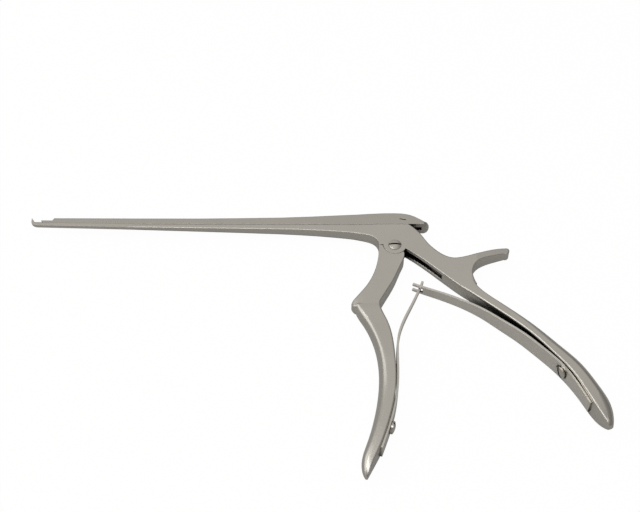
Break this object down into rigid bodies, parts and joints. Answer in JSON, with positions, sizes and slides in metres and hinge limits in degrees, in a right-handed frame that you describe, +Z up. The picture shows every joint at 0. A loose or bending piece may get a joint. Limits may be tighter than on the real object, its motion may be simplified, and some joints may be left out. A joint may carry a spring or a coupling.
{
  "type": "bone rongeur",
  "caption": "Hand-held bone rongeur: a slider rides on a long thin shaft and bites against an upturned footplate when two sprung handles are squeezed.",
  "frame": {"origin": "middle of the footprint, on the table that the instrument lies on", "axes": "+X along the shaft from the cutting tip to the handles, +Y from the handles' ends up to the slider, +Z up from the table, through the instrument's thickness"},
  "size_m": [0.2444, 0.1322, 0.0104],
  "materials": {
    "satin_steel": "satin",
    "spring_steel": "satin",
    "screw_steel": "polished"
  },
  "bodies": {
    "frame": {"frame": "satin_steel", "pivot_screw": "screw_steel", "rear_spring_screw": "screw_steel"},
    "slider": {"slider": "satin_steel"},
    "front_handle": {"front_handle": "satin_steel", "front_spring_screw": "screw_steel"},
    "rear_spring": {"rear_spring": "spring_steel"},
    "front_spring": {"front_spring": "spring_steel"}
  },
  "joints": [
    {"name": "handle_squeeze", "type": "hinge", "parent": "frame", "child": "front_handle", "pos_m": [0.03882, 0.04725, 0.0052], "axis": [0, 0, 1], "range_deg": [0, 17.1], "stiffness_Nm_per_rad": 0.6, "springref_deg": -17.19},
    {"name": "slider_stroke", "type": "slide", "parent": "frame", "child": "slider", "axis": [-1, 0, 0], "range_m": [0, 0.0032]},
    {"name": "rear_spring_flex", "type": "hinge", "parent": "frame", "child": "rear_spring", "pos_m": [0.10512, -0.01565, 0.0052], "axis": [0, 0, 1], "range_deg": [-4, 0], "deforming": ["rear_spring"]},
    {"name": "front_spring_flex", "type": "hinge", "parent": "front_handle", "child": "front_spring", "pos_m": [0.03502, -0.04315, 0.0052], "axis": [0, 0, 1], "range_deg": [0, 2.7], "deforming": ["front_spring"]}
  ],
  "couplings": [
    {"joint": "slider_stroke", "follows": "handle_squeeze", "m_per_rad": 0.01072},
    {"joint": "rear_spring_flex", "follows": "handle_squeeze", "ratio": -0.228},
    {"joint": "front_spring_flex", "follows": "handle_squeeze", "ratio": 0.15}
  ]
}
